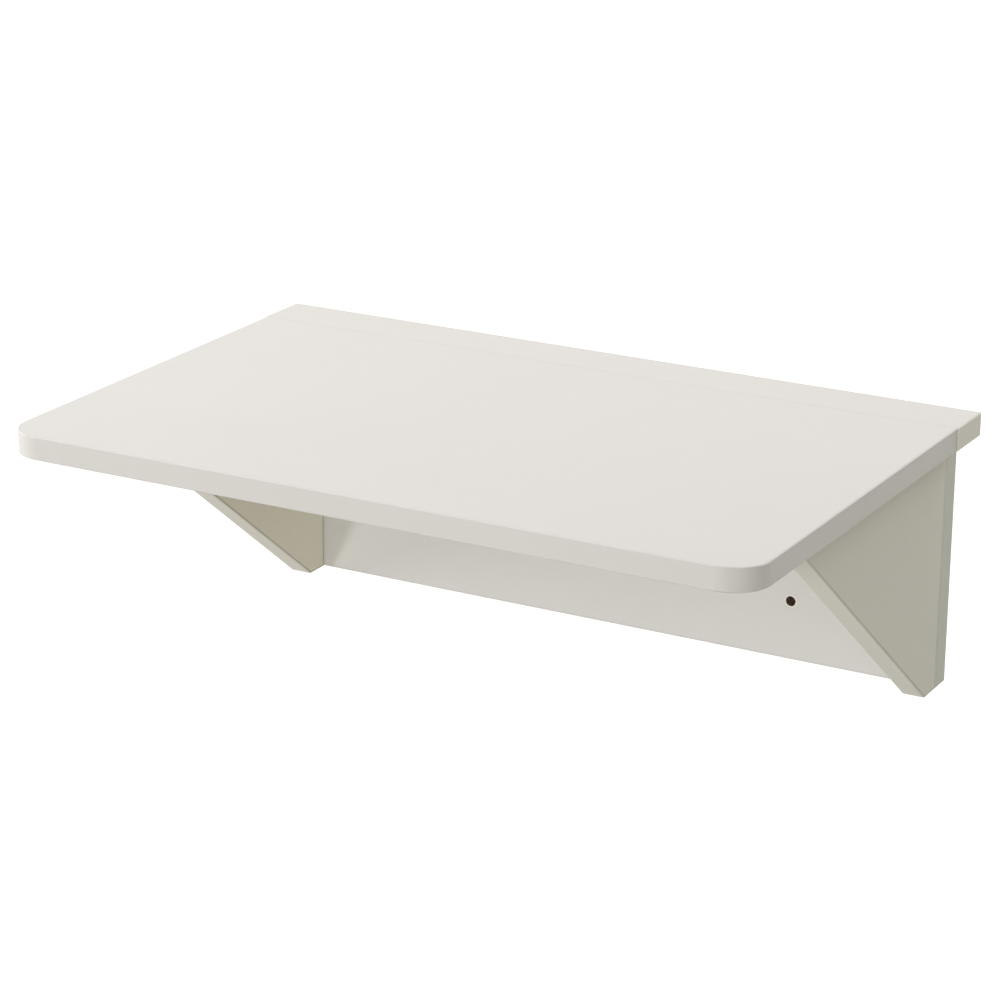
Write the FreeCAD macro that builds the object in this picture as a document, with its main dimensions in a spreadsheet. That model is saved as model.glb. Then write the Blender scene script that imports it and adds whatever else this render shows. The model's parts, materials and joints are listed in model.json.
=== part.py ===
"""Wall-mounted drop-leaf table: wall board, top strip, drop leaf, two folding brackets and their hinges.

Frame: the origin is the centre of the wall board's back face, which lies on the wall (Y = 0).
+X runs to the right along the wall, +Y points into the wall and +Z up. The table stands out
towards -Y, with the leaf up and both brackets swung out under it. All sizes are in millimetres.
"""
import FreeCAD, Part
import math
import os

import Sketcher
from FreeCAD import Placement, Rotation, Vector

PARTS_FOLDER = "parts"

# Alias, size in millimetres, what it sizes.
SIZES = [
    ("top_len", 600.0, "length of the top strip, along the wall"),
    ("top_thk", 18.0, "thickness of the top strip and the leaf"),
    ("strip_depth", 46.0, "depth of the fixed top strip, from the wall"),
    ("seam_gap", 0.3, "gap between the strip and the leaf"),
    ("table_depth", 400.0, "from the wall to the leaf's front edge"),
    ("leaf_inset", 1.0, "how far each leaf side stays inside the strip's end"),
    ("leaf_corner_r", 28.0, "radius of the leaf's front corners"),
    ("rail_inset", 18.0, "overhang of the top strip past each end of the wall board"),
    ("rail_height", 200.0, "height of the wall board"),
    ("rail_thk", 18.0, "thickness of the wall board"),
    ("arris_r", 1.0, "rounding of the boards' edges"),
    ("bracket_thk", 18.0, "thickness of a bracket"),
    ("fold_gap", 4.0, "gap between the two brackets' tips when both are swung in"),
    ("bracket_nose", 22.0, "width of a bracket's blunt lower end"),
    ("bracket_tip", 12.5, "height of the upright face at a bracket's tip"),
    ("bracket_corner_r", 3.0, "rounding of a bracket's nose and tip corners"),
    ("bracket_inner_r", 4.0, "rounding of the inner corner of a bracket's stepped top edge"),
    ("seat_gap", 0.3, "play between a bracket's top edge and the leaf"),
    ("rear_gap", 0.8, "gap between a bracket's rear edge and the wall board"),
    ("step_clear", 1.5, "clearance of a bracket's stepped top edge below the leaf hinges"),
    ("swing_clear", 6.0, "clearance of the step's end past the leaf hinges, as a bracket swings"),
    ("hole_r", 4.0, "radius of a wall screw hole"),
    ("hole_dx", 320.0, "spacing of the wall screw holes along the wall"),
    ("hole_dz", 104.0, "spacing of the wall screw holes in height"),
    ("plate_thk", 1.5, "thickness of a hinge plate"),
    ("pin_offset", 2.75, "distance of a hinge pin's axis from the wood that its plates lie on"),
    ("barrel_r", 2.65, "outer radius of a hinge barrel, which clears that wood"),
    ("pin_r", 1.25, "radius of a hinge pin"),
    ("pin_head_r", 2.0, "radius of a hinge pin's riveted heads"),
    ("pin_head_thk", 0.6, "thickness of a hinge pin's riveted heads"),
    ("pin_play", 0.05, "radial clearance of a hinge pin in its barrel"),
    ("barrel_gap", 0.3, "gap between neighbouring barrel lengths, and from barrel to plate"),
    ("plate_corner_r", 3.0, "rounding of a hinge plate's free corners"),
    ("leaf_hinge_end", 110.0, "distance of each leaf hinge's middle from the strip's end"),
    ("leaf_hinge_len", 60.0, "length of a leaf hinge"),
    ("leaf_wing", 20.0, "width of a leaf hinge plate, from the pin"),
    ("leaf_pitch", 20.0, "spacing of the screws along a leaf hinge plate"),
    ("post_hinge_drop", 45.0, "depth of an upper bracket hinge's middle below the board's top edge"),
    ("post_hinge_pitch", 70.0, "distance between the middles of a bracket's two hinges"),
    ("post_hinge_len", 50.0, "length of a bracket hinge"),
    ("post_wing", 18.0, "width of a bracket hinge plate, from the pin"),
    ("post_pitch", 15.0, "distance of each screw from the middle of a bracket hinge plate"),
    ("screw_r", 1.75, "thread radius of a hinge screw"),
    ("screw_len", 14.0, "length of a hinge screw"),
    ("screw_point", 3.0, "length of a hinge screw's point"),
    ("screw_play", 0.05, "clearance around a hinge screw"),
    ("recess_len", 3.4, "length of each arm pair of a screw's cross recess"),
    ("recess_width", 0.9, "width of an arm of a screw's cross recess"),
    ("recess_depth", 1.2, "depth of a screw's cross recess"),
    ("dowel_r", 4.0, "radius of a dowel"),
    ("dowel_len", 35.0, "length of a dowel"),
    ("dowel_up", 12.0, "length of a dowel inside the strip"),
    ("dowel_bevel", 1.0, "bevel on a dowel's ends"),
    ("dowel_end", 45.0, "distance of each outer dowel from the board's end"),
    ("dowel_mid", 100.0, "distance of each inner dowel from the middle"),
    ("hole_spare", 0.5, "spare depth of a blind hole past what it holds"),
    ("cam_r", 7.5, "radius of a cam lock's hole"),
    ("cam_len", 12.5, "length of a cam lock"),
    ("cam_play", 0.1, "radial clearance of a cam lock in its hole"),
    ("cam_drop", 34.0, "depth of a cam lock's centre below the board's top edge"),
    ("cam_end", 82.0, "distance of each outer cam lock from the board's end"),
    ("cam_cross_len", 7.0, "length of each arm pair of a cam lock's cross recess"),
    ("cam_cross_width", 1.6, "width of an arm of a cam lock's cross recess"),
    ("cam_cross_depth", 2.0, "depth of a cam lock's cross recess"),
    ("bolt_hole_r", 3.5, "radius of a connecting bolt's hole in the board's edge"),
    ("bolt_thread_r", 3.5, "radius of a connecting bolt's thread"),
    ("bolt_thread_len", 11.0, "length of a connecting bolt's thread in the strip"),
    ("bolt_shank_r", 3.0, "radius of a connecting bolt's shank and head"),
    ("bolt_neck_r", 1.9, "radius of a connecting bolt's neck"),
    ("bolt_head_len", 3.0, "length of a connecting bolt's head"),
    ("bolt_neck_len", 4.0, "length of a connecting bolt's neck"),
    ("bolt_play", 0.5, "clearance around a connecting bolt's head in the cam lock"),
]

KNUCKLES = 5
FIXED_KNUCKLES = (0, 2, 4)
MOVING_KNUCKLES = (1, 3)
LEAF_SCREW_STEPS = (-1, 0, 1)
POST_SCREW_STEPS = (-1, 1)
SIDES = (("left", -1), ("right", 1))
LEVELS = (("upper", 0), ("lower", 1))

# Places that several pieces share, worked out from the sizes.
UNDERSIDE = "dim.rail_height / 2"
BOARD_FOOT = "-dim.rail_height / 2"
RAIL_HALF = "(dim.top_len / 2 - dim.rail_inset)"
RAIL_MIDDLE_Y = "-dim.rail_thk / 2"
BRACKET_INNER_X = f"({RAIL_HALF} - dim.bracket_thk)"
LEAF_PIN_Y = "(-dim.strip_depth - dim.seam_gap / 2)"
LEAF_PIN_Z = f"({UNDERSIDE} - dim.pin_offset)"
POST_PIN_X = f"({BRACKET_INNER_X} - dim.pin_offset)"
POST_PIN_Y = "(-dim.rail_thk - dim.pin_offset)"
POST_PIN_TOP_Z = f"({UNDERSIDE} - dim.post_hinge_drop)"
LEAF_HINGE_X = "(dim.top_len / 2 - dim.leaf_hinge_end)"
BORE_R = "(dim.pin_r + dim.pin_play)"
SCREW_HEAD_R = "(dim.screw_r + dim.plate_thk)"
CAM_Z = f"({UNDERSIDE} - dim.cam_drop)"
CAM_OUTER_X = f"({RAIL_HALF} - dim.cam_end)"
DOWEL_OUTER_X = f"({RAIL_HALF} - dim.dowel_end)"

# A bracket reaches so far that, swung in, it ends short of the middle by half the fold gap.
BRACKET_REACH = f"({POST_PIN_X} + dim.pin_offset - dim.fold_gap / 2)"

# A bracket swings under the leaf hinges, so its top edge is stepped down as far out as they lie.
STEP_DEPTH = "(2 * dim.pin_offset + dim.step_clear)"
HINGE_REACH_X = f"({POST_PIN_X} - {LEAF_HINGE_X} + dim.leaf_hinge_len / 2)"
HINGE_REACH_Y = f"({POST_PIN_Y} - {LEAF_PIN_Y} + dim.leaf_wing)"
STEP_LEN = f"(sqrt({HINGE_REACH_X} ^ 2 + {HINGE_REACH_Y} ^ 2) + dim.pin_offset + dim.swing_clear)"

doc = FreeCAD.newDocument("WallDropLeafTable")
sheet = doc.addObject("Spreadsheet::Sheet", "dim")
for row, (alias, size, note) in enumerate(SIZES, start=1):
    sheet.set(f"A{row}", alias)
    sheet.set(f"B{row}", str(size))
    sheet.setAlias(f"B{row}", alias)
    sheet.set(f"C{row}", note)
doc.recompute()

pieces = []


def number(expression):
    """The value that an expression on the sheet has now."""
    return float(sheet.evalExpression(expression))


def require(fact, message):
    if not fact:
        raise RuntimeError(message)


def bind(thing, **expressions):
    """Bind each named property to an expression on the sheet."""
    for name, expression in expressions.items():
        thing.setExpression(name.replace("__", "."), expression)


def keep(thing, label):
    """Name a finished piece, which is then written to its own file."""
    thing.Label = label
    pieces.append(thing)
    return thing


# ---------------------------------------------------------------- sketches and features


def new_body(name):
    return doc.addObject("PartDesign::Body", name)


def new_sketch(body, name, plane, offset="0 * dim.top_len"):
    """A sketch on one of the body's origin planes, moved along the plane's normal."""
    sketch = body.newObject("Sketcher::SketchObject", name)
    support = next(item for item in body.Origin.OriginFeatures if item.Role == plane)
    sketch.AttachmentSupport = (support, [""])
    sketch.MapMode = "FlatFace"
    bind(sketch, AttachmentOffset__Base__z=offset)
    return sketch


def pin_point(sketch, geometry, point, place):
    """Tie one point of a sketch to a pair of expressions."""
    for kind, expression in zip(("DistanceX", "DistanceY"), place):
        datum = Sketcher.Constraint(kind, -1, 1, geometry, point, number(expression))
        index = sketch.addConstraint(datum)
        sketch.setExpression(f"Constraints[{index}]", expression)


def draw_outline(sketch, corners):
    """A closed outline of straight lines through corners given as expressions."""
    points = [Vector(number(x), number(y), 0) for x, y in corners]
    first = sketch.GeometryCount
    count = len(points)
    for index, point in enumerate(points):
        sketch.addGeometry(Part.LineSegment(point, points[(index + 1) % count]), False)
    for index in range(count):
        following = (index + 1) % count
        sketch.addConstraint(Sketcher.Constraint("Coincident", first + index, 2, first + following, 1))
    for index, corner in enumerate(corners):
        pin_point(sketch, first + index, 1, corner)


def draw_rectangle(sketch, x_low, x_high, y_low, y_high):
    draw_outline(sketch, [(x_low, y_low), (x_high, y_low), (x_high, y_high), (x_low, y_high)])


def draw_cross(sketch, length, width):
    """A plus sign around the sketch's origin."""
    arm, half = f"{length} / 2", f"{width} / 2"
    quarter = [(half, half), (half, arm), (f"-{half}", arm), (f"-{half}", half)]
    quarter += [(f"-{arm}", half), (f"-{arm}", f"-{half}"), (f"-{half}", f"-{half}")]
    quarter += [(f"-{half}", f"-{arm}"), (half, f"-{arm}"), (half, f"-{half}")]
    quarter += [(arm, f"-{half}"), (arm, half)]
    draw_outline(sketch, quarter)


def draw_circles(sketch, centres, radius):
    for centre in centres:
        middle = Vector(number(centre[0]), number(centre[1]), 0)
        circle = Part.Circle(middle, Vector(0, 0, 1), number(radius))
        geometry = sketch.addGeometry(circle, False)
        pin_point(sketch, geometry, 3, centre)
        index = sketch.addConstraint(Sketcher.Constraint("Radius", geometry, number(radius)))
        sketch.setExpression(f"Constraints[{index}]", radius)


def pad(body, sketch, length):
    """Raise the sketch along its plane's normal."""
    feature = body.newObject("PartDesign::Pad", f"{body.Name}_pad")
    feature.Profile = sketch
    bind(feature, Length=length)
    sketch.Visibility = False
    doc.recompute()
    return feature


def pocket(body, sketch, depth, along_normal=False):
    """Cut the sketch into the body, against its plane's normal unless told otherwise."""
    before = body.Shape.Volume
    feature = body.newObject("PartDesign::Pocket", f"{sketch.Name}_cut")
    feature.Profile = sketch
    feature.Reversed = along_normal
    bind(feature, Length=depth)
    doc.recompute()
    require(body.Shape.Volume < before, f"{sketch.Name} cuts nothing")
    return feature


def drill(body, name, plane, offset, centres, radius, depth, along_normal=False):
    """Round holes of one size, started on one plane."""
    sketch = new_sketch(body, name, plane, offset)
    draw_circles(sketch, centres, radius)
    pocket(body, sketch, depth, along_normal)


def turn(body, profile):
    """Revolve a closed outline, given as radius and height, about the body's Z axis."""
    sketch = new_sketch(body, f"{body.Name}_profile", "XZ_Plane")
    draw_outline(sketch, profile)
    feature = body.newObject("PartDesign::Revolution", f"{body.Name}_turned")
    feature.Profile = sketch
    feature.ReferenceAxis = (sketch, ["V_Axis"])
    feature.Angle = 360
    doc.recompute()


def round_edges(body, wanted, radius):
    """Round the edges of the body's tip for which wanted(edge) is true."""
    tip = body.Tip
    names = [f"Edge{index}" for index, edge in enumerate(tip.Shape.Edges, start=1) if wanted(edge)]
    require(names, f"{body.Name} has no edge to round")
    feature = body.newObject("PartDesign::Fillet", f"{body.Name}_round")
    feature.Base = (tip, names)
    bind(feature, Radius=radius)
    doc.recompute()


def lies_at(edge, axis, place):
    """True where the whole edge has one coordinate, given as an axis letter and a value."""
    tolerance = 0.001
    box = edge.BoundBox
    low, high = getattr(box, f"{axis}Min"), getattr(box, f"{axis}Max")
    return abs(low - place) < tolerance and abs(high - place) < tolerance


def runs_along(edge, axis):
    """True for a straight edge parallel to an axis."""
    if not isinstance(edge.Curve, Part.Line):
        return False
    direction = edge.Curve.Direction
    return abs(abs(getattr(direction, axis.lower())) - 1) < 0.001


# ---------------------------------------------------------------- primitives


def box(name, sizes, corner):
    solid = doc.addObject("Part::Box", name)
    bind(solid, Length=sizes[0], Width=sizes[1], Height=sizes[2])
    put(solid, corner)
    return solid


def rod_along_x(name, radius, length, start):
    solid = doc.addObject("Part::Cylinder", name)
    bind(solid, Radius=radius, Height=length)
    put(solid, start, Rotation(Vector(0, 1, 0), 90))
    return solid


def put(thing, place, rotation=None):
    """Place a thing at three expressions, turned by a fixed rotation."""
    thing.Placement = Placement(Vector(), rotation or Rotation())
    x, y, z = place
    bind(thing, Placement__Base__x=x, Placement__Base__y=y, Placement__Base__z=z)


def fuse(name, solids):
    joined = doc.addObject("Part::MultiFuse", name)
    joined.Shapes = solids
    return joined


def cut(name, solid, tool):
    rest = doc.addObject("Part::Cut", name)
    rest.Base = solid
    rest.Tool = tool
    return rest


class Frame:
    """A local frame whose axes lie along the table's, with its origin given as expressions."""

    def __init__(self, origin, x_axis, y_axis, z_axis):
        self.origin = origin
        self.axes = (x_axis, y_axis, z_axis)

    def rotation(self):
        return Rotation(*self.axes, "XYZ")

    def point(self, *local):
        """Three expressions for a point given by three local expressions."""
        place = []
        for letter, start in zip("xyz", self.origin):
            terms = [str(start)]
            for axis, distance in zip(self.axes, local):
                sign = round(getattr(axis, letter))
                if sign:
                    terms.append(f"{sign} * ({distance})")
            place.append(" + ".join(terms))
        return tuple(place)


X, Y, Z = Vector(1, 0, 0), Vector(0, 1, 0), Vector(0, 0, 1)


# ---------------------------------------------------------------- hinges

# In a hinge plate's own frame the pin lies along X, the plate spreads towards +Y and the
# wood that it is screwed to starts at Z = pin_offset.


def hinge_plate(name, frame, length, wing, knuckles, screws):
    """A pressed steel plate with its share of the barrel, countersunk for its screws."""
    pitch = f"({length} / {KNUCKLES})"
    plate_start = "(dim.pin_offset + dim.barrel_gap)"
    plate_z = "(dim.pin_offset - dim.plate_thk)"
    zero = "0 * dim.pin_offset"
    plate = box(f"{name}_flat", (length, f"{wing} - {plate_start}", "dim.plate_thk"),
                (f"-{length} / 2", plate_start, plate_z))
    doc.recompute()
    rounded = doc.addObject("Part::Fillet", f"{name}_corners")
    rounded.Base = plate
    far_edge = number(wing)
    corner_r = number("dim.plate_corner_r")
    rounded.Edges = [
        (index, corner_r, corner_r)
        for index, edge in enumerate(plate.Shape.Edges, start=1)
        if runs_along(edge, "Z") and lies_at(edge, "Y", far_edge)
    ]
    solids = [rounded]
    for knuckle in knuckles:
        start = f"(-{length} / 2 + {knuckle} * {pitch} + dim.barrel_gap / 2)"
        own_length = f"({pitch} - dim.barrel_gap)"
        solids.append(rod_along_x(f"{name}_barrel{knuckle}", "dim.barrel_r", own_length, (start, zero, zero)))
        tongue = (own_length, f"{plate_start} + dim.barrel_gap", "dim.plate_thk")
        solids.append(box(f"{name}_tongue{knuckle}", tongue, (start, zero, plate_z)))
    tools = [rod_along_x(f"{name}_bore", BORE_R, length, (f"-{length} / 2", zero, zero))]
    for index, (u, v) in enumerate(screws):
        sink = doc.addObject("Part::Cone", f"{name}_sink{index}")
        bind(sink, Radius1=f"{SCREW_HEAD_R} + dim.screw_play", Radius2="dim.screw_r + dim.screw_play",
             Height="dim.plate_thk")
        put(sink, (u, v, plate_z))
        tools.append(sink)
    plate = cut(name, fuse(f"{name}_raw", solids), fuse(f"{name}_tools", tools))
    put(plate, frame.origin, frame.rotation())
    return keep(plate, name)


def hinge_pin(name, frame, length):
    """A pin with a riveted head at each end, held in the fixed plate's barrel."""
    body = new_body(name)
    half, top = f"({length} / 2)", f"({length} / 2 + dim.pin_head_thk)"
    zero = "0 * dim.pin_r"
    turn(body, [
        (zero, f"-{top}"), ("dim.pin_head_r", f"-{top}"), ("dim.pin_head_r", f"-{half}"),
        ("dim.pin_r", f"-{half}"), ("dim.pin_r", half), ("dim.pin_head_r", half),
        ("dim.pin_head_r", top), (zero, top),
    ])
    put(body, frame.origin, Rotation(frame.axes[1], frame.axes[2], frame.axes[0], "XYZ"))
    return keep(body, name)


def screw_row(wing, pitch, steps):
    """Local places of a plate's screws, along the middle of its flat part."""
    row = f"(({wing} + dim.pin_offset + dim.barrel_gap) / 2)"
    return [(f"{step} * {pitch}", row) for step in steps]


def screw_places(frame, row):
    """The table's own places of the screw heads of one plate."""
    return [frame.point(u, v, "dim.pin_offset - dim.plate_thk") for u, v in row]


def group(name, master, places):
    """One piece made of separate copies of a master, each at its own place and turn."""
    copies = []
    for index, (place, rotation) in enumerate(places, start=1):
        copy = doc.addObject("App::Link", f"{name}_{index}")
        copy.LinkedObject = master
        copy.LinkPlacement = Placement(Vector(), rotation)
        x, y, z = place
        bind(copy, LinkPlacement__Base__x=x, LinkPlacement__Base__y=y, LinkPlacement__Base__z=z)
        copies.append(copy)
    together = doc.addObject("Part::Compound", name)
    together.Links = copies
    return keep(together, name)


def leaf_hinge_frames(side):
    """Frames of a leaf hinge's fixed plate, under the strip, and moving plate, under the leaf."""
    origin = (f"{side} * {LEAF_HINGE_X}", LEAF_PIN_Y, LEAF_PIN_Z)
    return Frame(origin, X, Y, Z), Frame(origin, -X, -Y, Z)


def post_hinge_frames(side, level):
    """Frames of a bracket hinge's plates, on the wall board and on the bracket's inner face."""
    origin = (f"{side} * {POST_PIN_X}", POST_PIN_Y, f"{POST_PIN_TOP_Z} - {level} * dim.post_hinge_pitch")
    fixed = Frame(origin, -side * Z, -side * X, Y)
    moving = Frame(origin, side * Z, -Y, side * X)
    return fixed, moving


LEAF_ROW = screw_row("dim.leaf_wing", "dim.leaf_pitch", LEAF_SCREW_STEPS)
POST_ROW = screw_row("dim.post_wing", "dim.post_pitch", POST_SCREW_STEPS)
LEAF_FRAMES = {side: leaf_hinge_frames(side) for _, side in SIDES}
POST_FRAMES = {(side, level): post_hinge_frames(side, level) for _, side in SIDES for _, level in LEVELS}


def along(places, first, second):
    """Two of the three coordinates of each place, for a sketch on an origin plane."""
    return [(place[first], place[second]) for place in places]


STRIP_SCREWS = [place for side in (-1, 1) for place in screw_places(LEAF_FRAMES[side][0], LEAF_ROW)]
LEAF_SCREWS = [place for side in (-1, 1) for place in screw_places(LEAF_FRAMES[side][1], LEAF_ROW)]
BOARD_SCREWS = [place for key in POST_FRAMES for place in screw_places(POST_FRAMES[key][0], POST_ROW)]
BRACKET_SCREWS = {
    side: [place for _, level in LEVELS for place in screw_places(POST_FRAMES[side, level][1], POST_ROW)]
    for _, side in SIDES
}
SCREW_HOLE_R = "dim.screw_r + dim.screw_play"
SCREW_HOLE_DEPTH = "dim.screw_len - dim.plate_thk + dim.hole_spare"
CAM_XS = (f"-{CAM_OUTER_X}", "0 * dim.cam_end", CAM_OUTER_X)
DOWEL_XS = (f"-{DOWEL_OUTER_X}", "-dim.dowel_mid", "dim.dowel_mid", DOWEL_OUTER_X)


# ---------------------------------------------------------------- boards


def wall_board():
    """The upright board that is screwed to the wall and carries everything else."""
    body = new_body("wall_board")
    outline = new_sketch(body, "wall_board_outline", "XZ_Plane")
    draw_rectangle(outline, f"-{RAIL_HALF}", RAIL_HALF, BOARD_FOOT, UNDERSIDE)
    pad(body, outline, "dim.rail_thk")
    foot, half, front = number(BOARD_FOOT), number(RAIL_HALF), -number("dim.rail_thk")

    def shows(edge):
        if lies_at(edge, "Z", foot):
            return not lies_at(edge, "Y", 0)
        at_end = lies_at(edge, "X", half) or lies_at(edge, "X", -half)
        return at_end and lies_at(edge, "Y", front)

    round_edges(body, shows, "dim.arris_r")
    holes = [(f"{sx} * dim.hole_dx / 2", f"{sz} * dim.hole_dz / 2") for sx in (-1, 1) for sz in (-1, 1)]
    drill(body, "wall_screw_holes", "XZ_Plane", "dim.rail_thk", holes, "dim.hole_r", "dim.rail_thk")
    drill(body, "cam_holes", "XZ_Plane", "0 * dim.rail_thk", [(x, CAM_Z) for x in CAM_XS],
          "dim.cam_r", "dim.cam_len + dim.hole_spare", along_normal=True)
    drill(body, "edge_bolt_holes", "XY_Plane", UNDERSIDE, [(x, RAIL_MIDDLE_Y) for x in CAM_XS],
          "dim.bolt_hole_r", "dim.cam_drop")
    drill(body, "edge_dowel_holes", "XY_Plane", UNDERSIDE, [(x, RAIL_MIDDLE_Y) for x in DOWEL_XS],
          "dim.dowel_r", "dim.dowel_len - dim.dowel_up + dim.hole_spare")
    drill(body, "board_hinge_holes", "XZ_Plane", "dim.rail_thk", along(BOARD_SCREWS, 0, 2),
          SCREW_HOLE_R, SCREW_HOLE_DEPTH)
    return keep(body, "wall_board")


def top_strip():
    """The narrow fixed shelf on the wall board, which the leaf is hinged to."""
    body = new_body("top_strip")
    outline = new_sketch(body, "top_strip_outline", "XY_Plane", UNDERSIDE)
    draw_rectangle(outline, "-dim.top_len / 2", "dim.top_len / 2", "-dim.strip_depth", "0 * dim.top_len")
    pad(body, outline, "dim.top_thk")
    half, front = number("dim.top_len") / 2, -number("dim.strip_depth")

    def shows(edge):
        at_end = lies_at(edge, "X", half) or lies_at(edge, "X", -half)
        return at_end and not lies_at(edge, "Y", front)

    round_edges(body, shows, "dim.arris_r")
    drill(body, "strip_bolt_holes", "XY_Plane", UNDERSIDE, [(x, RAIL_MIDDLE_Y) for x in CAM_XS],
          "dim.bolt_thread_r", "dim.bolt_thread_len + dim.hole_spare", along_normal=True)
    drill(body, "strip_dowel_holes", "XY_Plane", UNDERSIDE, [(x, RAIL_MIDDLE_Y) for x in DOWEL_XS],
          "dim.dowel_r", "dim.dowel_up + dim.hole_spare", along_normal=True)
    drill(body, "strip_hinge_holes", "XY_Plane", UNDERSIDE, along(STRIP_SCREWS, 0, 1),
          SCREW_HOLE_R, SCREW_HOLE_DEPTH, along_normal=True)
    return keep(body, "top_strip")


def drop_leaf():
    """The leaf, with two rounded front corners."""
    body = new_body("drop_leaf")
    outline = new_sketch(body, "drop_leaf_outline", "XY_Plane", UNDERSIDE)
    half_width = "(dim.top_len / 2 - dim.leaf_inset)"
    rear = "-dim.strip_depth - dim.seam_gap"
    draw_rectangle(outline, f"-{half_width}", half_width, "-dim.table_depth", rear)
    pad(body, outline, "dim.top_thk")
    front_y, rear_y = -number("dim.table_depth"), number(rear)
    low, high = number(UNDERSIDE), number(UNDERSIDE) + number("dim.top_thk")
    round_edges(body, lambda edge: runs_along(edge, "Z") and lies_at(edge, "Y", front_y), "dim.leaf_corner_r")

    def shows(edge):
        flat = lies_at(edge, "Z", low) or lies_at(edge, "Z", high)
        return flat and not lies_at(edge, "Y", rear_y)

    round_edges(body, shows, "dim.arris_r")
    drill(body, "leaf_hinge_holes", "XY_Plane", UNDERSIDE, along(LEAF_SCREWS, 0, 1),
          SCREW_HOLE_R, SCREW_HOLE_DEPTH, along_normal=True)
    return keep(body, "drop_leaf")


def bracket(name, side):
    """A triangular support that swings out under the leaf."""
    body = new_body(name)
    inner_x = f"{side} * {BRACKET_INNER_X}"
    low_x = inner_x if side > 0 else f"-{RAIL_HALF}"
    outline = new_sketch(body, f"{name}_outline", "YZ_Plane", low_x)
    rear, tip_y = "-dim.rail_thk - dim.rear_gap", f"-dim.rail_thk - {BRACKET_REACH}"
    top, step_top = f"{UNDERSIDE} - dim.seat_gap", f"{UNDERSIDE} - {STEP_DEPTH}"
    step_y = f"-dim.rail_thk - {STEP_LEN}"
    draw_outline(outline, [
        (rear, BOARD_FOOT),
        (rear, step_top),
        (step_y, step_top),
        (step_y, top),
        (tip_y, top),
        (tip_y, f"{top} - dim.bracket_tip"),
        ("-dim.rail_thk - dim.bracket_nose", BOARD_FOOT),
    ])
    pad(body, outline, "dim.bracket_thk")
    foot, tip, step = number(BOARD_FOOT), number(tip_y), number(step_y)
    rear_at, step_height = number(rear), number(step_top)

    def outer_corner(edge):
        if not runs_along(edge, "X") or lies_at(edge, "Y", rear_at):
            return False
        return lies_at(edge, "Z", foot) or lies_at(edge, "Y", tip)

    def step_corner(edge):
        return runs_along(edge, "X") and lies_at(edge, "Y", step) and lies_at(edge, "Z", step_height)

    round_edges(body, outer_corner, "dim.bracket_corner_r")
    round_edges(body, step_corner, "dim.bracket_inner_r")
    inner, outer = side * number(BRACKET_INNER_X), side * number(RAIL_HALF)
    round_edges(body, lambda edge: lies_at(edge, "X", inner) or lies_at(edge, "X", outer), "dim.arris_r")
    drill(body, f"{name}_hinge_holes", "YZ_Plane", inner_x, along(BRACKET_SCREWS[side], 1, 2),
          SCREW_HOLE_R, SCREW_HOLE_DEPTH, along_normal=side > 0)
    return keep(body, name)


# ---------------------------------------------------------------- fasteners


def screw_master():
    """A countersunk wood screw whose head lies in Z = 0 and whose point looks along +Z."""
    body = new_body("hinge_screw")
    zero = "0 * dim.screw_r"
    turn(body, [
        (zero, zero), (SCREW_HEAD_R, zero), ("dim.screw_r", "dim.plate_thk"),
        ("dim.screw_r", "dim.screw_len - dim.screw_point"), (zero, "dim.screw_len"),
    ])
    cross = new_sketch(body, "hinge_screw_cross", "XY_Plane")
    draw_cross(cross, "dim.recess_len", "dim.recess_width")
    pocket(body, cross, "dim.recess_depth", along_normal=True)
    return body


def dowel_master():
    """A bevelled beech dowel that stands across the joint at Z = 0."""
    body = new_body("dowel")
    zero, low, high = "0 * dim.dowel_r", "(dim.dowel_up - dim.dowel_len)", "dim.dowel_up"
    slim = "dim.dowel_r - dim.dowel_bevel / 2"
    turn(body, [
        (zero, low), (slim, low), ("dim.dowel_r", f"{low} + dim.dowel_bevel"),
        ("dim.dowel_r", f"{high} - dim.dowel_bevel"), (slim, high), (zero, high),
    ])
    return body


def bolt_master():
    """A connecting bolt: thread in the strip above Z = 0, head down in the cam lock."""
    body = new_body("connecting_bolt")
    zero = "0 * dim.bolt_shank_r"
    head_low, head_high = "(-dim.cam_drop - dim.bolt_head_len / 2)", "(-dim.cam_drop + dim.bolt_head_len / 2)"
    neck_high = f"({head_high} + dim.bolt_neck_len)"
    turn(body, [
        (zero, head_low), ("dim.bolt_shank_r", head_low), ("dim.bolt_shank_r", head_high),
        ("dim.bolt_neck_r", head_high), ("dim.bolt_neck_r", neck_high),
        ("dim.bolt_shank_r", neck_high), ("dim.bolt_shank_r", zero), ("dim.bolt_thread_r", zero),
        ("dim.bolt_thread_r", "dim.bolt_thread_len"), (zero, "dim.bolt_thread_len"),
    ])
    return body


def cam_master():
    """A cam lock whose face lies in Y = 0 and whose mouth looks up for the bolt's head."""
    body = new_body("cam_lock")
    disc = new_sketch(body, "cam_lock_disc", "XZ_Plane")
    draw_circles(disc, [("0 * dim.cam_r", "0 * dim.cam_r")], "dim.cam_r - dim.cam_play")
    pad(body, disc, "dim.cam_len")
    mouth = new_sketch(body, "cam_lock_mouth", "XZ_Plane", "dim.cam_len")
    half = "(dim.bolt_shank_r + dim.bolt_play)"
    draw_rectangle(mouth, f"-{half}", half, f"-{half}", "dim.cam_r + dim.bolt_play")
    pocket(body, mouth, f"dim.cam_len - dim.rail_thk / 2 + {half}")
    cross = new_sketch(body, "cam_lock_cross", "XZ_Plane")
    draw_cross(cross, "dim.cam_cross_len", "dim.cam_cross_width")
    pocket(body, cross, "dim.cam_cross_depth", along_normal=True)
    return body


# ---------------------------------------------------------------- the table

wall_board()
top_strip()
drop_leaf()
for word, side in SIDES:
    bracket(f"{word}_bracket", side)

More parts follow.
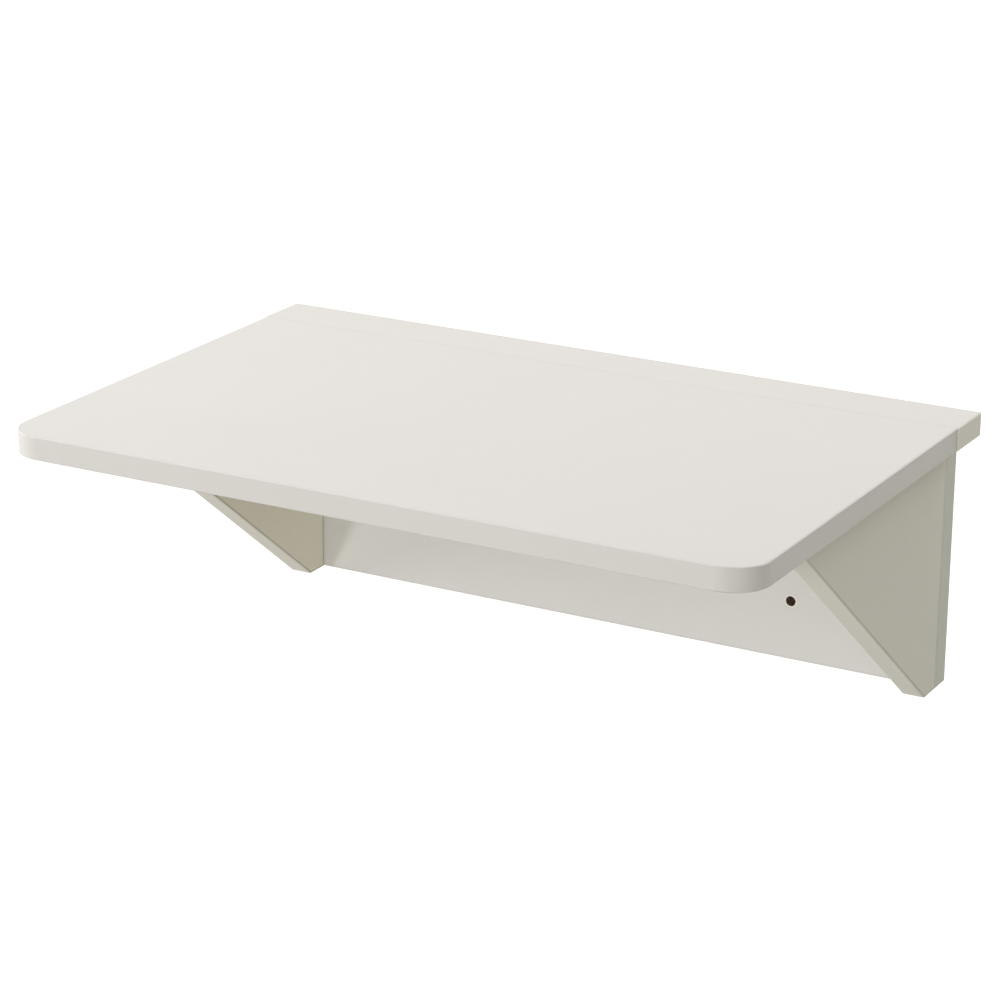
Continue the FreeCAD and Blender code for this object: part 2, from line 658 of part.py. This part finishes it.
for word, side in SIDES:
    fixed, moving = LEAF_FRAMES[side]
    hinge_plate(f"{word}_leaf_hinge_strip_plate", fixed, "dim.leaf_hinge_len", "dim.leaf_wing",
                FIXED_KNUCKLES, LEAF_ROW)
    hinge_plate(f"{word}_leaf_hinge_leaf_plate", moving, "dim.leaf_hinge_len", "dim.leaf_wing",
                MOVING_KNUCKLES, LEAF_ROW)
    hinge_pin(f"{word}_leaf_hinge_pin", fixed, "dim.leaf_hinge_len")
    for height, level in LEVELS:
        fixed, moving = POST_FRAMES[side, level]
        name = f"{word}_{height}_bracket_hinge"
        hinge_plate(f"{name}_board_plate", fixed, "dim.post_hinge_len", "dim.post_wing",
                    FIXED_KNUCKLES, POST_ROW)
        hinge_plate(f"{name}_bracket_plate", moving, "dim.post_hinge_len", "dim.post_wing",
                    MOVING_KNUCKLES, POST_ROW)
        hinge_pin(f"{name}_pin", fixed, "dim.post_hinge_len")

screw, dowel, bolt, cam = screw_master(), dowel_master(), bolt_master(), cam_master()
upward = Rotation()
group("leaf_hinge_strip_screws", screw, [(place, upward) for place in STRIP_SCREWS])
group("leaf_hinge_leaf_screws", screw, [(place, upward) for place in LEAF_SCREWS])
into_board = Rotation(Z, Y)
group("bracket_hinge_board_screws", screw, [(place, into_board) for place in BOARD_SCREWS])
for word, side in SIDES:
    into_bracket = Rotation(Z, side * X)
    group(f"{word}_bracket_hinge_screws", screw, [(place, into_bracket) for place in BRACKET_SCREWS[side]])
group("strip_dowels", dowel, [((x, RAIL_MIDDLE_Y, UNDERSIDE), upward) for x in DOWEL_XS])
group("strip_connecting_bolts", bolt, [((x, RAIL_MIDDLE_Y, UNDERSIDE), upward) for x in CAM_XS])
group("strip_cam_locks", cam, [((x, "0 * dim.cam_r", CAM_Z), upward) for x in CAM_XS])

doc.recompute()

# ---------------------------------------------------------------- checks and files

for item in doc.Objects:
    require(not {"Invalid", "Error"} & set(item.State), f"{item.Name} failed: {item.State}")
for piece in pieces:
    shape = piece.Shape
    require(not shape.isNull() and shape.isValid(), f"{piece.Label} is not a valid solid")
    separate = len(piece.Links) if piece.TypeId == "Part::Compound" else 1
    require(len(shape.Solids) == separate, f"{piece.Label} has {len(shape.Solids)} solids")

os.makedirs(PARTS_FOLDER, exist_ok=True)
for piece in pieces:
    piece.Shape.exportStep(os.path.join(PARTS_FOLDER, f"{piece.Label}.step"))

lift_limit = math.degrees(math.asin(number("dim.seam_gap / (dim.top_thk + dim.pin_offset)")))
print(f"{len(pieces)} pieces")
print(f"leaf pin at y {number(LEAF_PIN_Y):.2f}, z {number(LEAF_PIN_Z):.2f}; lifts up to {lift_limit:.2f} deg")
print(f"bracket pins at x +-{number(POST_PIN_X):.2f}, y {number(POST_PIN_Y):.2f}")
print(f"top step {number(STEP_LEN):.1f} long")
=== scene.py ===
"""The looks of a wall mounted drop leaf table: finishes, stage, light and camera around its frame.

All lengths are in metres and all places are in the frame's own axes: +X to the right along the
wall, +Y into the wall, +Z up. Angles are in degrees. An azimuth of 0 is straight in front of the
table, and it grows towards the table's right.
"""
import json
import math

import bpy
from mathutils import Matrix, Vector


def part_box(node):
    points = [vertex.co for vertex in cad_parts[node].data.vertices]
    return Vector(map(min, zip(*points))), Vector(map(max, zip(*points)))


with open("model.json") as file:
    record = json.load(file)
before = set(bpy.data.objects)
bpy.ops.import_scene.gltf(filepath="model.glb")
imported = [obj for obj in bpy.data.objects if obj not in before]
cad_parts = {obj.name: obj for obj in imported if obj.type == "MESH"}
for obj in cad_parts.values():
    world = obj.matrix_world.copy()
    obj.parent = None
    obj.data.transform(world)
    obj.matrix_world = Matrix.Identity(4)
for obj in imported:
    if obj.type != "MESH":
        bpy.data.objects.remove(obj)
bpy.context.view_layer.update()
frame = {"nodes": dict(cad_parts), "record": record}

MM_PER_METRE = 1000
X_AXIS, Y_AXIS, Z_AXIS = range(3)

# The photograph's viewpoint, fitted to its edges.
CAMERA_AZIMUTH = 28.77
CAMERA_ELEVATION = 18.87
CAMERA_ROLL = 0.43
CAMERA_DISTANCE = 2.4358
CAMERA_AIM = Vector((0.0002, -0.1952, 0.0557))
CAMERA_LENS_MM = 118.5
SENSOR_MM = 36.0

# The floor shows its pale colour below the table, and turns white between these two distances.
TABLE_HEIGHT = 0.75
FLOOR_RADIUS = 12.0
FLOOR_SIDES = 96
FLOOR_PALE_TO = 0.5
FLOOR_WHITE_FROM = 2.0
FLOOR_GLOW = 0.78
FLOOR_PALE = (0.40, 0.385, 0.33)
SKY_STRENGTH = 0.12
WHITE = (1.0, 1.0, 1.0)

# Each board's large faces, its edge bands, and how dark its edge lines are, from 0 to 1. These
# tones also carry painted light and shade. The wall board's bands are darker and the strip's bands
# lighter than their faces, and the leaf's bands are darker. The left bracket is a lighter, warmer
# copy of the right bracket's white with a darker edge line. Each of these follows how light falls
# on that board.
BOARD_TONES_AND_PAINTED_LIGHT = {
    "wall_board": ((0.905, 0.891, 0.858), (0.725, 0.735, 0.65), 0.1),
    "top_strip": ((0.852, 0.828, 0.782), (0.93, 0.91, 0.81), 0.1),
    "drop_leaf": ((0.852, 0.828, 0.782), (0.83, 0.806, 0.755), 0.1),
    "left_bracket": ((0.94, 0.895, 0.77), (0.93, 0.905, 0.83), 0.5),
    "right_bracket": ((0.89, 0.87, 0.77), (0.904, 0.902, 0.817), 0.35),
}
BAND_THICKNESS = 0.001
# The dark line along each board's edges is partly a glue line and partly painted shade on the
# rounded edges.
GLUE_AND_SHADE_LINE_WIDTH = 0.0006
GLUE_AND_SHADE_LINE_FAINTEST = 0.45
GLUE_AND_SHADE_LINE = (0.22, 0.19, 0.145)
LEAF_CORNER_RADIUS = 0.028
SLOPE_LEAST_TURN = 0.3
FOIL_SPECULAR = 0.25

# A wall screw hole: the paler ring round it, the raggedness of its edge, and its bare inside.
HOLE_PALE_RING = (1.0, 0.965, 0.905)
HOLE_PALE_RING_WIDTH = 0.0019
HOLE_CHIP_SIZE = 0.0009
HOLE_CHIP_DEPTH = 0.0003
HOLE_EDGE_BLUR = 0.0002
RAW_FIBREBOARD = (0.20, 0.115, 0.06)
RAW_DARKEST = 0.55
RAW_ROUGHNESS = 0.95

ZINC_PLATE = (0.64, 0.64, 0.62)
ZINC_SHADE = (0.50, 0.50, 0.49)
SCREW_STEEL = (0.70, 0.69, 0.65)
SCREW_SHADE = (0.55, 0.54, 0.51)
CAST_ZINC = (0.56, 0.56, 0.55)
CAST_SHADE = (0.42, 0.42, 0.41)
BEECH_LIGHT = (0.66, 0.46, 0.27)
BEECH_DARK = (0.52, 0.33, 0.17)
BEECH_ROUGHNESS = 0.62

# The colour sockets of Blender's Mix node.
MIX_SHARE, MIX_FIRST, MIX_SECOND, MIX_RESULT = 0, 6, 7, 2


# ---------------------------------------------------------------- node helpers


class Recipe:
    """A material under construction, with short calls for the nodes that it needs."""

    def __init__(self, name):
        self.material = bpy.data.materials.new(name)
        self.material.use_nodes = True
        self.tree = self.material.node_tree
        self.shader = self.tree.nodes["Principled BSDF"]
        self.coordinates = self.tree.nodes.new("ShaderNodeTexCoord")

    def node(self, kind, values=(), **settings):
        """A node with its settings made, and its inputs set or linked by index or name."""
        made = self.tree.nodes.new(kind)
        for key, setting in settings.items():
            setattr(made, key, setting)
        for key, value in dict(values).items():
            self.feed(made.inputs[key], value)
        return made

    def feed(self, socket, value):
        """Link a socket to another node's output, or set it to a number, vector or colour."""
        if isinstance(value, bpy.types.NodeSocket):
            self.tree.links.new(value, socket)
        elif isinstance(value, tuple) and len(value) == 3 and socket.type == "RGBA":
            socket.default_value = (*value, 1.0)
        else:
            socket.default_value = value

    def place(self):
        return self.coordinates.outputs["Object"]

    def part_of(self, vector, axis):
        """One coordinate of a vector, by axis number."""
        return self.node("ShaderNodeSeparateXYZ", {0: vector}).outputs[axis]

    def calculate(self, operation, *terms):
        return self.node("ShaderNodeMath", dict(enumerate(terms)), operation=operation).outputs[0]

    def length(self, *sides):
        """The length of the diagonal over sides that stand square to each other."""
        squares = [self.calculate("MULTIPLY", side, side) for side in sides]
        return self.calculate("SQRT", self.calculate("ADD", *squares))

    def ramp(self, value, low, high):
        """0 at low, 1 at high, smooth between. Low may be the larger one."""
        values = {"Value": value, "From Min": low, "From Max": high}
        return self.node("ShaderNodeMapRange", values, interpolation_type="SMOOTHSTEP").outputs[0]

    def between(self, value, low, high):
        """A plain share from low to high, for a value from 0 to 1."""
        values = {"Value": value, "To Min": low, "To Max": high}
        return self.node("ShaderNodeMapRange", values).outputs[0]

    def mix(self, share, first, second):
        """A colour from first to second, for a share from 0 to 1."""
        blend = self.node("ShaderNodeMix", data_type="RGBA")
        for index, value in ((MIX_SHARE, share), (MIX_FIRST, first), (MIX_SECOND, second)):
            self.feed(blend.inputs[index], value)
        return blend.outputs[MIX_RESULT]

    def stretched(self, scale):
        """The place, with each axis scaled, so that noise runs long where the scale is small."""
        return self.node("ShaderNodeMapping", {"Vector": self.place(), "Scale": scale}).outputs[0]

    def noise(self, size, detail=2.0, roughness=0.5, vector=None):
        """Noise whose blotches are about this size across, from 0 to 1."""
        values = {
            "Vector": vector or self.place(),
            "Scale": 1 / size,
            "Detail": detail,
            "Roughness": roughness,
        }
        return self.node("ShaderNodeTexNoise", values).outputs[0]

    def bump(self, height, depth, under=None):
        """Relief of this depth, over the relief that lies under it."""
        values = {"Height": height, "Distance": depth, "Strength": 1.0}
        if under is not None:
            values["Normal"] = under
        return self.node("ShaderNodeBump", values).outputs[0]

    def finish(self, **inputs):
        """Feed the shader's inputs, named with underscores for spaces, and return the material."""
        for name, value in inputs.items():
            self.feed(self.shader.inputs[name.replace("_", " ")], value)
        return self.material


# ---------------------------------------------------------------- materials


def board_finish(board, thin_axis, inside, holes=None):
    """White foil faces and edge bands, with a fine dark line that parts the two: partly a glue
    line, and partly painted shade on the rounded edges.

    inside(recipe) is the distance from the banded edges, measured along a large face. Facing is 1
    on the large faces and 0 on the bands, and runs from one to the other over the rounded edges.
    """
    face_white, band_white, line_depth = BOARD_TONES_AND_PAINTED_LIGHT[board]
    recipe = Recipe(f"{board}_white")
    facing = recipe.part_of(recipe.coordinates.outputs["Normal"], thin_axis)
    facing = recipe.calculate("ABSOLUTE", facing)
    on_band = recipe.ramp(facing, low=0.75, high=0.55)
    smears = recipe.noise(size=0.03, detail=3.0)
    uneven = recipe.between(smears, low=GLUE_AND_SHADE_LINE_FAINTEST * line_depth, high=line_depth)
    on_glue_and_shade_line = recipe.calculate("MULTIPLY", glue_and_shade_line(recipe, facing, inside(recipe)), uneven)

    clouds = recipe.noise(size=0.16, detail=3.0, roughness=0.55)
    cloud_tone = recipe.between(clouds, low=-0.02, high=0.02)
    grain_tone = recipe.between(recipe.noise(size=0.0007), low=-0.018, high=0.018)
    tone = recipe.calculate("ADD", cloud_tone, grain_tone)
    # The band tones against the faces carry painted light and shade: a darker wall board end, a
    # lighter strip end and a darker leaf front edge.
    white = recipe.mix(on_band, face_white, band_white)
    brightness = recipe.calculate("ADD", tone, 1.0)
    toned = recipe.node("ShaderNodeHueSaturation", {"Color": white, "Value": brightness})
    # The dark edge line painted here is partly a glue line and partly painted shade on the rounded
    # edge.
    colour = recipe.mix(on_glue_and_shade_line, toned.outputs[0], GLUE_AND_SHADE_LINE)

    along_board = recipe.stretched((1.0, 3.0, 1.0))
    scuffs = recipe.noise(size=0.012, detail=4.0, roughness=0.65, vector=along_board)
    scuffed = recipe.between(scuffs, low=0.50, high=0.62)
    smoother = recipe.between(on_band, low=0.0, high=-0.05)
    roughness = recipe.calculate("ADD", scuffed, smoother)
    if holes:
        raw, pale_ring = in_screw_hole(recipe, **holes)
        # A paler ring round each hole, lighter than the board.
        colour = recipe.mix(recipe.ramp(pale_ring, low=0.0, high=0.3), colour, HOLE_PALE_RING)
        colour = recipe.mix(raw, colour, raw_fibreboard(recipe))
        raw_roughness = recipe.between(raw, low=0.0, high=RAW_ROUGHNESS)
        roughness = recipe.calculate("MAXIMUM", roughness, raw_roughness)

    peel = recipe.bump(recipe.noise(size=0.0024, detail=1.0), depth=0.00004)
    pearl = recipe.bump(recipe.noise(size=0.0005), depth=0.000012, under=peel)
    return recipe.finish(Base_Color=colour, Roughness=roughness, Normal=pearl,
                         Specular_IOR_Level=FOIL_SPECULAR)


def glue_and_shade_line(recipe, facing, inside):
    """1 on the dark edge line, which is partly a glue line and partly painted shade on the rounded
    edge: from the rounded edge to a line's width past the band's thickness.
    """
    past_edge = recipe.ramp(facing, low=0.80, high=0.93)
    before_face = recipe.ramp(facing, low=0.9995, high=0.985)
    on_arris = recipe.calculate("MULTIPLY", past_edge, before_face)
    start = BAND_THICKNESS - GLUE_AND_SHADE_LINE_WIDTH / 2
    end = BAND_THICKNESS + GLUE_AND_SHADE_LINE_WIDTH
    after_start = recipe.ramp(inside, low=start, high=BAND_THICKNESS)
    before_end = recipe.ramp(inside, low=end + GLUE_AND_SHADE_LINE_WIDTH, high=end)
    past_band = recipe.calculate("MULTIPLY", after_start, before_end)
    on_face = recipe.calculate("MULTIPLY", past_band, recipe.ramp(facing, low=0.9, high=0.99))
    return recipe.calculate("MAXIMUM", on_arris, on_face)


def inside_planes(*planes):
    """The distance to the nearest of several planes, each an outward normal and an offset."""
    def distance(recipe):
        nearest = None
        for normal, offset in planes:
            terms = {0: recipe.place(), 1: tuple(normal)}
            reach = recipe.node("ShaderNodeVectorMath", terms, operation="DOT_PRODUCT")
            depth = recipe.calculate("SUBTRACT", offset, reach.outputs["Value"])
            nearest = depth if nearest is None else recipe.calculate("MINIMUM", nearest, depth)
        return nearest
    return distance


def inside_leaf(half_x, front_y, radius):
    """The distance to the leaf's sides and front edge, also round its two front corners."""
    def distance(recipe):
        place = recipe.place()
        from_middle = recipe.calculate("ABSOLUTE", recipe.part_of(place, X_AXIS))
        over_x = recipe.calculate("SUBTRACT", from_middle, half_x - radius)
        over_y = recipe.calculate("SUBTRACT", front_y + radius, recipe.part_of(place, Y_AXIS))
        past = [recipe.calculate("MAXIMUM", over, 0.0) for over in (over_x, over_y)]
        round_corner = recipe.length(*past)
        flat = recipe.calculate("MINIMUM", recipe.calculate("MAXIMUM", over_x, over_y), 0.0)
        return recipe.calculate("SUBTRACT", radius, recipe.calculate("ADD", round_corner, flat))
    return distance


def slope_plane(node):
    """The plane of a bracket's sloping edge: its largest face that looks forward and down."""
    faces = node.data.polygons
    forward = [face for face in faces if face.normal.y < -SLOPE_LEAST_TURN]
    lower_front = [face for face in forward if face.normal.z < -SLOPE_LEAST_TURN]
    face = max(lower_front, key=lambda item: item.area)
    return face.normal.copy(), face.normal.dot(face.center)


def in_screw_hole(recipe, half_x, half_z, radius):
    """Two shares, for four holes in a rectangle round the origin: their inside, and the paler
    rings round them.
    """
    place = recipe.place()
    sides = []
    for axis, half in ((X_AXIS, half_x), (Z_AXIS, half_z)):
        from_middle = recipe.calculate("ABSOLUTE", recipe.part_of(place, axis))
        sides.append(recipe.calculate("SUBTRACT", from_middle, half))
    distance = recipe.length(*sides)
    rough_edge = recipe.noise(size=HOLE_CHIP_SIZE)
    chips = recipe.between(rough_edge, low=-HOLE_CHIP_DEPTH, high=HOLE_CHIP_DEPTH)
    ragged = recipe.calculate("ADD", distance, chips)
    inside = recipe.ramp(ragged, low=radius + HOLE_EDGE_BLUR, high=radius)
    pale_ring = recipe.ramp(ragged, low=radius + HOLE_PALE_RING_WIDTH, high=radius)
    return inside, pale_ring


def raw_fibreboard(recipe):
    """The brown, fluffy core that a drill lays bare."""
    fibres = recipe.noise(size=0.0006, detail=4.0, roughness=0.7)
    darker = tuple(channel * RAW_DARKEST for channel in RAW_FIBREBOARD)
    return recipe.mix(fibres, darker, RAW_FIBREBOARD)


def plated_steel(name, grain):
    """Zinc plated pressed steel: cloudy plating, and fine rolling marks along the grain."""
    recipe = Recipe(name)
    clouds = recipe.noise(size=0.006, detail=4.0, roughness=0.6)
    marks = recipe.noise(size=0.0012, detail=3.0, roughness=0.6, vector=recipe.stretched(grain))
    cloud_shade = recipe.calculate("MULTIPLY", recipe.ramp(clouds, low=0.35, high=0.75), 0.6)
    shade = recipe.calculate("ADD", cloud_shade, recipe.between(marks, low=0.0, high=0.3))
    colour = recipe.mix(shade, ZINC_PLATE, ZINC_SHADE)
    cloud_roughness = recipe.between(clouds, low=0.2, high=0.36)
    mark_roughness = recipe.between(marks, low=-0.05, high=0.08)
    roughness = recipe.calculate("ADD", cloud_roughness, mark_roughness)
    normal = recipe.bump(marks, depth=0.00002)
    return recipe.finish(Base_Color=colour, Metallic=1.0, Roughness=roughness, Normal=normal)


def turned_steel(name):
    """Zinc plated screws and bolts, brighter and smoother than the hinges."""
    recipe = Recipe(name)
    clouds = recipe.noise(size=0.003, detail=3.0, roughness=0.6)
    colour = recipe.mix(recipe.ramp(clouds, low=0.3, high=0.8), SCREW_STEEL, SCREW_SHADE)
    roughness = recipe.between(clouds, low=0.2, high=0.34)
    normal = recipe.bump(recipe.noise(size=0.0004, detail=3.0), depth=0.000015)
    return recipe.finish(Base_Color=colour, Metallic=1.0, Roughness=roughness, Normal=normal)


def cast_zinc(name):
    """Die-cast zinc with a grey, slightly sandy skin."""
    recipe = Recipe(name)
    clouds = recipe.noise(size=0.004, detail=4.0, roughness=0.65)
    colour = recipe.mix(recipe.ramp(clouds, low=0.3, high=0.7), CAST_ZINC, CAST_SHADE)
    roughness = recipe.between(clouds, low=0.42, high=0.58)
    normal = recipe.bump(recipe.noise(size=0.0005, detail=3.0, roughness=0.7), depth=0.00004)
    return recipe.finish(Base_Color=colour, Metallic=1.0, Roughness=roughness, Normal=normal)


def beech(name):
    """Beech dowels, with their grain and short flecks along the length."""
    recipe = Recipe(name)
    long_grain, short_grain = recipe.stretched((1.0, 1.0, 0.08)), recipe.stretched((1.0, 1.0, 0.2))
    grain = recipe.noise(size=0.0014, detail=5.0, roughness=0.6, vector=long_grain)
    flecks = recipe.ramp(recipe.noise(size=0.0006, vector=short_grain), low=0.58, high=0.68)
    colour = recipe.mix(grain, BEECH_LIGHT, BEECH_DARK)
    colour = recipe.mix(recipe.calculate("MULTIPLY", flecks, 0.5), colour, BEECH_DARK)
    normal = recipe.bump(grain, depth=0.00006)
    return recipe.finish(Base_Color=colour, Roughness=BEECH_ROUGHNESS, Normal=normal)


def dress(node, material):
    """Give a node of the frame its finish."""
    node.data.materials.clear()
    node.data.materials.append(material)


def board_finishes():
    """The finish of each board, with its dark edge lines, partly glue lines and partly painted
    shade, set by the board's own edges.
    """
    mounts = {mount["name"]: mount for mount in frame["record"]["mounts"]}
    pattern = mounts["wall_bolts"]["dims"]
    holes = {
        "half_x": pattern["spacing_x_mm"] / MM_PER_METRE / 2,
        "half_z": pattern["spacing_y_mm"] / MM_PER_METRE / 2,
        "radius": pattern["hole_r_mm"] / MM_PER_METRE,
    }
    rail_low, rail_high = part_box("wall_board")
    strip_low, strip_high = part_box("top_strip")
    leaf_low, leaf_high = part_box("drop_leaf")
    right, front, down = Vector((1, 0, 0)), Vector((0, -1, 0)), Vector((0, 0, -1))
    board_edges = inside_planes((right, rail_high.x), (-right, -rail_low.x), (down, -rail_low.z))
    strip_edges = inside_planes((right, strip_high.x), (-right, -strip_low.x),
                                (-front, strip_high.y))
    leaf_edges = inside_leaf(leaf_high.x, leaf_low.y, LEAF_CORNER_RADIUS)
    finishes = {
        "wall_board": board_finish("wall_board", Y_AXIS, board_edges, holes),
        "top_strip": board_finish("top_strip", Z_AXIS, strip_edges),
        "drop_leaf": board_finish("drop_leaf", Z_AXIS, leaf_edges),
    }
    for name in ("left_bracket", "right_bracket"):
        low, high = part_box(name)
        slope = slope_plane(frame["nodes"][name])
        edges = inside_planes(slope, (front, -low.y), (down, -low.z), (-front, high.y))
        finishes[name] = board_finish(name, X_AXIS, edges)
    return finishes


def dress_all():
    """Give every node of the frame its finish, the small hardware by its name."""
    finishes = board_finishes()
    finishes["strip_cam_locks"] = cast_zinc("cam_zinc")
    finishes["strip_dowels"] = beech("beech")
    leaf_hinge = plated_steel("leaf_hinge_zinc", grain=(0.1, 1.0, 1.0))
    bracket_hinge = plated_steel("bracket_hinge_zinc", grain=(1.0, 1.0, 0.1))
    screws = turned_steel("screw_zinc")
    for name, node in frame["nodes"].items():
        if name in finishes:
            dress(node, finishes[name])
        elif name.endswith("screws"):
            dress(node, screws)
        elif "leaf_hinge" in name:
            dress(node, leaf_hinge)
        elif "bracket_hinge" in name:
            dress(node, bracket_hinge)
        else:
            dress(node, screws)


# ---------------------------------------------------------------- stage, light and camera


def direction(azimuth, elevation):
    """A unit vector from the table towards a place given by two angles in degrees."""
    turn, rise = math.radians(azimuth), math.radians(elevation)
    level = math.cos(rise)
    return Vector((math.sin(turn) * level, -math.cos(turn) * level, math.sin(rise)))


def seen_directly(tree):
    """1 for camera, glossy and transmission rays, which see the background, and 0 for the rest."""
    rays = tree.nodes.new("ShaderNodeLightPath")
    total = rays.outputs["Is Camera Ray"]
    for other in ("Is Glossy Ray", "Is Transmission Ray"):
        step = tree.nodes.new("ShaderNodeMath")
        step.operation = "MAXIMUM"
        tree.links.new(total, step.inputs[0])
        tree.links.new(rays.outputs[other], step.inputs[1])
        total = step.outputs[0]
    return total


def make_world():
    """A white background that lights the table with a plain, weaker sky."""
    world = bpy.data.worlds.new("studio")
    bpy.context.scene.world = world
    world.use_nodes = True
    tree = world.node_tree
    background = tree.nodes["Background"]
    sky = tree.nodes.new("ShaderNodeBackground")
    for shader, strength in ((sky, SKY_STRENGTH), (background, 1.0)):
        shader.inputs["Color"].default_value = (*WHITE, 1.0)
        shader.inputs["Strength"].default_value = strength
    either = tree.nodes.new("ShaderNodeMixShader")
    tree.links.new(seen_directly(tree), either.inputs[0])
    tree.links.new(sky.outputs[0], either.inputs[1])
    tree.links.new(background.outputs[0], either.inputs[2])
    tree.links.new(either.outputs[0], tree.nodes["World Output"].inputs["Surface"])


def make_floor(top_z):
    """A pale floor one table height below the top: white further off, and with its shadow."""
    bpy.ops.mesh.primitive_circle_add(vertices=FLOOR_SIDES, radius=FLOOR_RADIUS,
                                      fill_type="NGON",
                                      location=(0.0, 0.0, top_z - TABLE_HEIGHT))
    floor = bpy.context.object
    floor.name = "floor"
    recipe = Recipe("floor_pale")
    tree = recipe.tree
    away = recipe.node("ShaderNodeVectorMath", {0: recipe.place()}, operation="LENGTH")
    whiter = recipe.ramp(away.outputs["Value"], low=FLOOR_PALE_TO, high=FLOOR_WHITE_FROM)
    shown = recipe.between(whiter, low=FLOOR_GLOW, high=1.0)
    matte = recipe.node("ShaderNodeBsdfDiffuse", {"Color": FLOOR_PALE})
    strength = recipe.calculate("MULTIPLY", shown, seen_directly(tree))
    glow = recipe.node("ShaderNodeEmission", {"Strength": strength})
    both = recipe.node("ShaderNodeAddShader", {0: matte.outputs[0], 1: glow.outputs[0]})
    tree.links.new(both.outputs[0], tree.nodes["Material Output"].inputs["Surface"])
    tree.nodes.remove(recipe.shader)
    floor.data.materials.append(recipe.material)


def soft_box(name, azimuth, elevation, distance, size, power, colour):
    """A square area lamp that looks at the table."""
    data = bpy.data.lights.new(name, "AREA")
    data.shape = "SQUARE"
    data.size = size
    data.energy = power
    data.color = colour
    lamp = bpy.data.objects.new(name, data)
    towards = direction(azimuth, elevation)
    lamp.location = CAMERA_AIM + towards * distance
    lamp.rotation_euler = towards.to_track_quat("Z", "Y").to_euler()
    bpy.context.scene.collection.objects.link(lamp)


def make_lamps():
    """Seven soft boxes round the table, each tinted by 5 percent at most."""
    soft_box("key", azimuth=-20.0, elevation=12.0, distance=3.0, size=0.3,
             power=15.8, colour=(0.957, 0.952, 1.0))
    soft_box("front", azimuth=0.0, elevation=12.0, distance=3.0, size=2.5,
             power=8.5, colour=(0.965, 0.96, 1.0))
    soft_box("side", azimuth=-72.0, elevation=12.0, distance=2.0, size=1.2,
             power=18.3, colour=(0.978, 0.971, 1.0))
    soft_box("right", azimuth=30.0, elevation=8.0, distance=3.0, size=2.0,
             power=21.9, colour=(0.989, 1.0, 0.996))
    soft_box("top", azimuth=0.0, elevation=90.0, distance=3.0, size=2.0,
             power=12.55, colour=WHITE)
    soft_box("left", azimuth=-90.0, elevation=65.0, distance=3.0, size=2.0,
             power=29.3, colour=(1.0, 0.982, 0.987))
    soft_box("back", azimuth=150.0, elevation=35.0, distance=3.0, size=2.0,
             power=37.2, colour=(1.0, 0.994, 0.96))


def make_camera():
    """The photograph's viewpoint: its direction, distance, roll and field of view."""
    data = bpy.data.cameras.new("camera")
    data.lens = CAMERA_LENS_MM
    data.sensor_width = SENSOR_MM
    data.sensor_fit = "HORIZONTAL"
    back = direction(CAMERA_AZIMUTH, CAMERA_ELEVATION)
    level_right = Vector((0.0, 0.0, 1.0)).cross(back).normalized()
    level_up = back.cross(level_right)
    roll = math.radians(CAMERA_ROLL)
    right = level_right * math.cos(roll) + level_up * math.sin(roll)
    up = level_up * math.cos(roll) - level_right * math.sin(roll)
    camera = bpy.data.objects.new("camera", data)
    turned = Matrix((right, up, back)).transposed().to_4x4()
    camera.matrix_world = Matrix.Translation(CAMERA_AIM + back * CAMERA_DISTANCE) @ turned
    bpy.context.scene.collection.objects.link(camera)
    bpy.context.scene.camera = camera


# ---------------------------------------------------------------- the scene

bpy.context.scene.view_settings.view_transform = "Standard"
make_camera()
dress_all()
make_floor(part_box("drop_leaf")[1].z)
make_world()
make_lamps()
